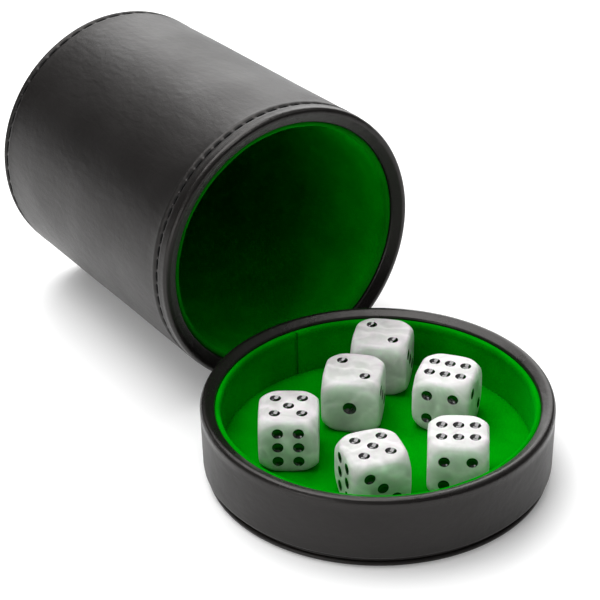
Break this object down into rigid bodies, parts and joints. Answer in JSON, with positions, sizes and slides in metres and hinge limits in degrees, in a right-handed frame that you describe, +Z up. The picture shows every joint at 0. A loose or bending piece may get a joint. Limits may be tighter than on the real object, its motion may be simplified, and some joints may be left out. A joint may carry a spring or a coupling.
{
  "type": "leather dice cup",
  "caption": "Round leather-covered dice cup lined with velvet, with a slip-over lid that stands as a tray and holds the dice.",
  "frame": {"origin": "centre of the lid's foot, on the table that the lid and the lying cup rest on", "axes": "+Y along the lying cup from its mouth to its base, +Z up from the table, +X to the right of someone who looks along +Y"},
  "size_m": [0.096, 0.194, 0.0828],
  "materials": {
    "black_leather": "smooth satin black leather with a fine grain",
    "black_thread": "waxed black thread",
    "fibreboard": "pressed fibreboard, hidden",
    "lining_card": "thin card, hidden",
    "green_velvet": "short green velvet pile",
    "pearl_white": "polished pearl-white plastic with black painted pips"
  },
  "bodies": {
    "cup": {"cup_leather_wrap": "black_leather", "cup_core_tube": "fibreboard", "cup_base_leather": "black_leather", "cup_base_board": "fibreboard", "cup_mouth_stitching": "black_thread", "cup_base_stitching": "black_thread", "cup_lining_card": "lining_card", "cup_lining_velvet": "green_velvet", "cup_floor_card": "lining_card", "cup_floor_velvet": "green_velvet"},
    "lid": {"lid_leather_wrap": "black_leather", "lid_core_ring": "fibreboard", "lid_foot_leather": "black_leather", "lid_foot_board": "fibreboard", "lid_inner_board": "fibreboard", "lid_lining_card": "lining_card", "lid_lining_velvet": "green_velvet", "lid_floor_card": "lining_card", "lid_floor_velvet": "green_velvet"},
    "front_left_die": {"die_front_left": "pearl_white"},
    "front_centre_die": {"die_front_centre": "pearl_white"},
    "front_right_die": {"die_front_right": "pearl_white"},
    "middle_left_die": {"die_middle_left": "pearl_white"},
    "middle_right_die": {"die_middle_right": "pearl_white"},
    "back_die": {"die_back": "pearl_white"}
  },
  "joints": [
    {"name": "lid_lift", "type": "slide", "parent": "cup", "child": "lid", "axis": [0, 0, 1], "range_m": [0, 0.1]},
    {"name": "front_left_die_lift", "type": "slide", "parent": "lid", "child": "front_left_die", "axis": [0, 0, 1], "range_m": [0, 0.05]},
    {"name": "front_centre_die_lift", "type": "slide", "parent": "lid", "child": "front_centre_die", "axis": [0, 0, 1], "range_m": [0, 0.05]},
    {"name": "front_right_die_lift", "type": "slide", "parent": "lid", "child": "front_right_die", "axis": [0, 0, 1], "range_m": [0, 0.05]},
    {"name": "middle_left_die_lift", "type": "slide", "parent": "lid", "child": "middle_left_die", "axis": [0, 0, 1], "range_m": [0, 0.05]},
    {"name": "middle_right_die_lift", "type": "slide", "parent": "lid", "child": "middle_right_die", "axis": [0, 0, 1], "range_m": [0, 0.05]},
    {"name": "back_die_lift", "type": "slide", "parent": "lid", "child": "back_die", "axis": [0, 0, 1], "range_m": [0, 0.05]}
  ]
}
